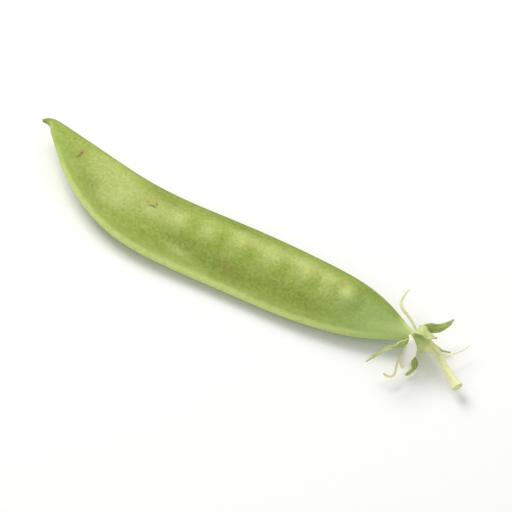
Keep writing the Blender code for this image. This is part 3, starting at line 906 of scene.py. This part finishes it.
def calyx_sheet():
    """Points, faces and numbers of the calyx: its foot, the rings of its cup, the rows of its lobes."""
    mouth, foot = calyx_mouth(), calyx_foot()
    depth, rim = CALYX_PROFILE[-1]
    first = LOBES[0]["root"]
    columns = len(LOBES) * LOBE_COLUMNS
    azimuths = first + LOBE_STEP * (np.arange(columns) / LOBE_COLUMNS - 0.5)
    from_rib = (np.arange(columns) % LOBE_COLUMNS) / LOBE_COLUMNS * 2 - 1
    directions = np.array([outward(a)[0] for a in azimuths])
    rows, faces = [], []

    def add(points, out, edge, pale):
        start = sum(len(row[0]) for row in rows)
        rows.append((points, *(np.broadcast_to(value, (len(points),)) for value in (out, edge, pale))))
        return list(range(start, start + len(points)))

    def join(low, high):
        faces.extend((low[i], high[i], high[i + 1], low[i + 1]) for i in range(len(low) - 1))

    add(foot[None, :], 0.0, 0.0, 1.0)
    ribs = CALYX_RIB * np.cos(np.radians(2 * len(LOBES) * (azimuths - first)))
    crease = MIDRIB_HEIGHT / rim * bell(from_rib * CUP_RIB_REACH, 0, MIDRIB_WIDTH)
    rings = []
    for distance, radius in zip(*calyx_rings()):
        swell = 1 + ribs + crease * smooth_step(0, 2, distance)
        line = foot + TOWARDS_TIP * distance + directions * (radius * swell)[:, None]
        ring = add(line, distance / depth - 1, np.abs(from_rib) * smooth_step(1.6, 3.0, distance), 1.0)
        rings.append(ring + ring[:1])
    faces.extend((0, rings[0][i], rings[0][i + 1]) for i in range(columns))
    for low, high in zip(rings, rings[1:]):
        join(low, high)

    from_midrib = np.abs(np.linspace(-1, 1, LOBE_COLUMNS + 1))
    for lobe, form in enumerate(LOBES):
        low = rings[-1][lobe * LOBE_COLUMNS : (lobe + 1) * LOBE_COLUMNS + 1]
        for row, line in enumerate(lobe_sheet(mouth, lobe, form)):
            share = (row + 1) / LOBE_ROWS
            from_cup = 1 - smooth_step(0, PALE_DONE_AT, share)
            high = add(line, share, from_midrib, form["pale"] + (1 - form["pale"]) * from_cup)
            join(low, high)
            low = high
    points, out, edge, pale = (np.concatenate(values) for values in zip(*rows))
    vein = (0.5 + 0.5 * np.cos(2 * math.pi * VEINS_PER_HALF_LOBE * edge)) ** 4
    return cleared(points), faces, {"out": out, "edge": edge, "vein": vein, "pale": pale}


def calyx_material():
    """Leafy green, yellower at the cup, with pale dry margins, straw tips and fine lengthwise veins."""
    s = Shader("calyx_leaf")
    out, edge = s.attribute("out"), s.attribute("edge")
    green = s.mix(s.span(s.noise(1.6, 3.0), 0.35, 0.7), srgb(146, 166, 84), srgb(176, 192, 112))
    cream = s.mix(s.span(s.noise(0.9, 3.0, 0.6), 0.3, 0.7), srgb(196, 210, 134), srgb(228, 233, 166))
    colour = s.mix(s.attribute("pale"), green, cream)
    fibres = s.noise(0.35, 2.0, 0.5)
    colour = s.mix(s.times(s.span(fibres, 0.4, 0.7), 0.25), colour, srgb(136, 158, 76))
    vein = s.times(s.attribute("vein"), 0.35)
    colour = s.mix(vein, colour, srgb(204, 214, 150))
    margin = s.times(s.span(edge, 0.8, 1.0), s.span(s.noise(0.8), 0.3, 0.6, 0.35, 0.8))
    colour = s.mix(margin, colour, srgb(210, 216, 160))
    dry = s.span(s.math("ADD", out, s.times(s.noise(1.0), 0.35)), 0.85, 1.15)
    colour = s.mix(s.times(dry, 0.8), colour, srgb(196, 194, 140))
    s.set(Base_Color=colour, Roughness=0.58, IOR=1.4, Specular_IOR_Level=0.35)
    s.set(Subsurface_Weight=0.15, Subsurface_Radius=(0.6, 0.9, 0.2), Subsurface_Scale=0.5 * MM)
    s.set(Normal=s.bump(fibres, 0.4, 0.06))
    return s.material


def build_calyx():
    points, faces, numbers = calyx_sheet()
    piece = make_mesh("calyx_leaf", points, faces, numbers, calyx_material())
    wall = piece.modifiers.new("wall", "SOLIDIFY")
    wall.thickness = CALYX_WALL * MM
    wall.offset = 0
    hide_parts("calyx")
    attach(piece, "root")


def tube(route, widths, heights, rings, sides, relief=None, trough=0.0, skew=0.0):
    """Rings of points round a smooth line through the route, with the share of length and turn of each."""
    route = np.array(route, float)
    chord = np.concatenate([[0], np.cumsum(np.linalg.norm(np.diff(route, axis=0), axis=1))])
    share = np.linspace(0, 1, rings)
    line = np.stack([spline(list(zip(chord, route[:, i])), share * chord[-1]) for i in range(3)], axis=1)
    heading = np.gradient(line, axis=0)
    heading /= np.linalg.norm(heading, axis=1)[:, None]
    side = np.cross(heading, [0.0, 0.0, 1.0])
    side /= np.linalg.norm(side, axis=1)[:, None]
    top = np.cross(side, heading)
    turn = np.linspace(0, 2 * math.pi, sides, endpoint=False)
    shares, turns = np.broadcast_arrays(share[:, None], turn[None, :])
    swell = 1 if relief is None else relief(shares, turns)
    wide = np.interp(share, *np.array(widths).T)[:, None] * np.cos(turn) * swell
    high = np.interp(share, *np.array(heights).T)[:, None] * np.sin(turn) * swell
    high = high - trough * wide**2
    points = line[:, None, :] + side[:, None, :] * wide[..., None] + top[:, None, :] * high[..., None]
    return points + heading[:, None, :] * (skew * wide * share[:, None] ** 2)[..., None], shares, turns


def stalk_ribs(share, turn):
    return np.cos(STALK_RIBS * turn + STALK_RIB_TURN * share)


def stalk_relief(share, turn):
    """Ribs, fine fibres between them, knots and a ragged flare at the cut end."""
    fibres = np.cos(STALK_FIBRES * turn + STALK_FIBRE_TURN * share) * smooth_step(0.05, 0.3, share)
    knots = soft_noise(share * 30, 3 * np.cos(turn), 1.0, SEED + 31)
    ragged = soft_noise(4 * np.cos(turn), 4 * np.sin(turn), 1.0, SEED + 33) * smooth_step(0.88, 0.99, share)
    relief = 1 + STALK_RIB_HEIGHT * stalk_ribs(share, turn) + STALK_FIBRE_HEIGHT * fibres
    return relief + STALK_KNOT_HEIGHT * knots + STALK_RAGGED_HEIGHT * ragged


def stalk_material():
    """Pale cream-green stalk with lengthwise fibres, darker ribs and a browned cut end."""
    s = Shader("stalk_skin")
    out, turn = s.attribute("out"), s.attribute("rib")
    base = s.mix(s.span(out, 0.02, 0.22), srgb(238, 243, 170), srgb(247, 249, 192))
    colour = s.mix(s.times(s.span(turn, 0.1, 1.0), 0.25), base, srgb(196, 200, 130))
    fibre = s.noise(0.5, 3.0, 0.6, (0.25, 1, 1), 24)
    colour = s.mix(s.times(s.span(fibre, 0.42, 0.7), 0.3), colour, srgb(190, 186, 120))
    colour = s.mix(s.times(s.span(fibre, 0.45, 0.25), 0.3), colour, srgb(232, 230, 190))
    spots = s.times(s.span(s.noise(1.3, 2.0), 0.64, 0.78), 0.35)
    colour = s.mix(spots, colour, srgb(178, 166, 104))
    cut = s.times(s.attribute("cut"), s.span(s.noise(0.5), 0.3, 0.7, 0.5, 1.0))
    colour = s.mix(cut, colour, srgb(230, 220, 176))
    ring = s.times(s.attribute("cut_ring"), s.span(s.noise(0.7), 0.35, 0.65, 0.1, 0.65))
    colour = s.mix(ring, colour, srgb(164, 142, 92))
    s.set(Base_Color=colour, Roughness=0.6, IOR=1.4, Specular_IOR_Level=0.35)
    s.set(Subsurface_Weight=0.15, Subsurface_Radius=(0.8, 0.8, 0.4), Subsurface_Scale=0.6 * MM)
    s.set(Normal=s.bump(fibre, 0.5, 0.08))
    return s.material


def cut_end(last, one_before, turn):
    """Rings that close the stalk's cut end, sunk round a low core, from its last two rings."""
    middle = last.mean(axis=0)
    back = one_before.mean(axis=0) - middle
    back /= np.linalg.norm(back)
    rings = []
    for size in CUT_RINGS:
        sunk = CUT_DEPTH * smooth_step(0.95, 0.6, size) - CUT_CORE_HEIGHT * bell(size, 0.3, 0.15)
        pith = soft_noise(3 * size * np.cos(turn), 3 * size * np.sin(turn), 0.6, SEED + 35)
        rings.append(middle + (last - middle) * size + back * (sunk + CUT_ROUGHNESS * pith)[:, None])
    return np.array(rings)


def build_stalk():
    route = calyx_foot() + np.array(STALK_ROUTE)
    stalk, share, turn = tube(route, STALK_RADII, STALK_RADII, STALK_RINGS, STALK_SIDES, stalk_relief)
    stalk = np.concatenate([stalk, cut_end(stalk[-1], stalk[-2], turn[-1])])
    cut = np.ones((len(CUT_RINGS), STALK_SIDES))
    sizes = np.array(CUT_RINGS)[:, None] * cut
    browned = np.maximum(bell(sizes, 0.66, 0.1), bell(sizes, 1, 0.06))
    route = calyx_foot() + np.array(STRAND_ROUTE)
    strand, strand_share, _ = tube(route, STRAND_RADII, STRAND_RADII, STRAND_RINGS, STRAND_SIDES)
    none = 0 * strand_share
    numbers = {
        "out": in_a_row(share, cut, none + 0.6),
        "rib": in_a_row(stalk_ribs(share, turn), 0 * cut, none),
        "cut": in_a_row(smooth_step(0.985, 1.0, share), cut, 0.8 * strand_share),
        "cut_ring": in_a_row(0.8 * smooth_step(0.97, 1.0, share), browned, none),
    }
    points, faces = joined([stalk, strand])
    piece = make_mesh("stalk_skin", points, faces, numbers, stalk_material())
    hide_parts("stalk")
    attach(piece, "root")


def dry_material(name, middle, margin):
    """Dry and papery: one colour in the middle of a blade, another at its margins, with lengthwise veins."""
    s = Shader(name)
    mottle = s.span(s.noise(0.9, 3.0, 0.6), 0.3, 0.7, -0.25, 0.25)
    colour = s.mix(s.math("ADD", s.attribute("cream"), mottle), middle, margin)
    colour = s.mix(s.times(s.attribute("vein"), 0.16), colour, srgb(190, 182, 140))
    colour = s.mix(s.attribute("straw"), colour, srgb(236, 230, 180))
    stain = s.times(s.attribute("stain"), s.span(s.noise(0.6, 3.0), 0.35, 0.6, 0.3, 1.0))
    colour = s.mix(stain, colour, srgb(150, 126, 74))
    s.set(Base_Color=colour, Roughness=0.6, IOR=1.38, Specular_IOR_Level=0.3)
    s.set(Subsurface_Weight=0.25, Subsurface_Radius=(0.7, 0.7, 0.5), Subsurface_Scale=0.3 * MM)
    s.set(Normal=s.bump(s.noise(0.18, 2.0), 0.35, 0.04))
    return s.material


def torn(share, turn):
    """Relief of the sheath, whose blade is torn along its margins, each in its own way."""
    margin = smooth_step(0.36, 0.5, share) * np.abs(np.cos(turn)) ** 6
    tears = 0
    for i, (depth, count) in enumerate(TEARS):
        tears = tears + depth * soft_noise(share * count, 7 * np.sign(np.cos(turn)), 1.0, SEED + 41 + i)
    return 1 + margin * tears


def kinked(kinks, seed):
    """Relief of a thread that dried unevenly."""
    height, count = kinks
    return lambda share, turn: 1 + height * soft_noise(share * count, np.cos(turn), 1.0, seed)


def build_sheath():
    route = calyx_mouth() + np.array(SHEATH_ROUTE)
    widths, heights = SHEATH_HALF_WIDTHS, SHEATH_HALF_HEIGHTS
    form = dict(relief=torn, trough=SHEATH_TROUGH, skew=SHEATH_SKEW)
    blade, share, turn = tube(route, widths, heights, SHEATH_RINGS, SHEATH_SIDES, **form)
    route = calyx_mouth() + np.array(THREAD_ROUTE)
    relief = kinked(THREAD_KINKS, SEED + 43)
    thread, thread_share, _ = tube(route, THREAD_RADII, THREAD_RADII, THREAD_RINGS, THREAD_SIDES, relief)
    across = np.cos(turn)
    flat = smooth_step(0.34, 0.5, share)
    veins = flat * (0.5 + 0.5 * np.cos(SHEATH_VEINS * math.pi * across)) ** 3
    cream = 1 - flat * smooth_step(0.9, 0.45, np.abs(across))
    none = 0 * thread_share
    numbers = {
        "vein": in_a_row(veins, none),
        "cream": in_a_row(cream, none + 1),
        "stain": in_a_row(0.5 * smooth_step(0.3, 0.2, share), 0.25 * smooth_step(0.9, 1.0, thread_share)),
        "straw": in_a_row(0.7 * smooth_step(0.8, 1.0, share), none + 0.9),
    }
    points, faces = joined([blade, thread])
    material = dry_material("dry_sheath", srgb(244, 241, 238), srgb(255, 254, 216))
    piece = make_mesh("dry_sheath", points, faces, numbers, material)
    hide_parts("stamen_sheath")
    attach(piece, "root")


def build_free_stamen():
    route = calyx_mouth() + np.array(FREE_STAMEN_ROUTE)
    radii = FREE_STAMEN_RADII
    relief = kinked(FREE_STAMEN_KINKS, SEED + 51)
    points, share, turn = tube(route, radii, radii, FREE_STAMEN_RINGS, THREAD_SIDES, relief)
    numbers = {
        "vein": 0.3 * bell(np.cos(turn), 0, 0.3),
        "cream": share,
        "stain": 0.3 * smooth_step(0.95, 1.0, share),
        "straw": 0.35 * share,
    }
    faces = ring_faces(FREE_STAMEN_RINGS, THREAD_SIDES)
    material = dry_material("dry_thread", srgb(208, 214, 156), srgb(232, 234, 188))
    piece = make_mesh("dry_thread", points, faces, numbers, material)
    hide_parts("free_stamen")
    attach(piece, "root")


def build_floor():
    size = FLOOR_HALF_SIZE_M
    corners = [(-size, -size, 0), (size, -size, 0), (size, size, 0), (-size, size, 0)]
    mesh = bpy.data.meshes.new("floor")
    mesh.from_pydata(corners, [], [(0, 1, 2, 3)])
    s = Shader("floor_paper")
    s.set(Base_Color=(0.97, 0.97, 0.965), Roughness=0.85, Specular_IOR_Level=0.15)
    mesh.materials.append(s.material)
    floor = add_object("floor", mesh)


def area_light(name, place, power, size, colour):
    """A soft square light. Its place is in metres to the camera's right, up in the picture and towards it."""
    right, up, back = view_axes(PHOTO_AZIMUTH, PHOTO_ELEVATION)
    data = bpy.data.lights.new(name, "AREA")
    data.energy = power
    data.size = size
    data.color = colour
    light = add_object(name, data)
    light.location = right * place[0] + up * place[1] + back * place[2]
    light.rotation_euler = (Vector(LIT_PLACE_M) - light.location).to_track_quat("-Z", "Y").to_euler()


def build_light():
    area_light("key", place=(-0.27, 0.66, 0.24), power=4.0, size=0.42, colour=(1.0, 0.985, 0.95))
    area_light("fill", place=(0.6, 0.1, 0.55), power=0.9, size=0.7, colour=(0.95, 0.98, 1.0))
    world = bpy.data.worlds.new("studio")
    world.use_nodes = True
    background = world.node_tree.nodes["Background"]
    background.inputs["Color"].default_value = (0.985, 0.99, 1.0, 1)
    background.inputs["Strength"].default_value = 0.55
    bpy.context.scene.world = world
    bpy.context.scene.view_settings.view_transform = "Standard"


def build_camera():
    """The photograph's viewing angle, closer in, so that the one pod fills the picture."""
    right, up, back = view_axes(PHOTO_AZIMUTH, PHOTO_ELEVATION)
    dx = (WINDOW_CENTRE_PX[0] - PHOTO_BASE_PX[0]) / PHOTO_PX_PER_MM
    dy = (PHOTO_BASE_PX[1] - WINDOW_CENTRE_PX[1]) / PHOTO_PX_PER_MM
    target = base_anchor() + right * dx + up * dy
    data = bpy.data.cameras.new("camera")
    data.sensor_width = SENSOR_MM
    data.lens = SENSOR_MM * CAMERA_DISTANCE_MM * PHOTO_PX_PER_MM * WINDOW_ZOOM / IMAGE_PX
    data.clip_start = CAMERA_CLIP_START_M
    camera = add_object("camera", data)
    axes = Matrix((right, up, back)).transposed().to_4x4()
    axes.translation = (target + back * CAMERA_DISTANCE_MM) * MM
    camera.matrix_world = axes
    bpy.context.scene.camera = camera


build_pod()
build_calyx()
build_stalk()
build_sheath()
build_free_stamen()
build_floor()
build_light()
build_camera()
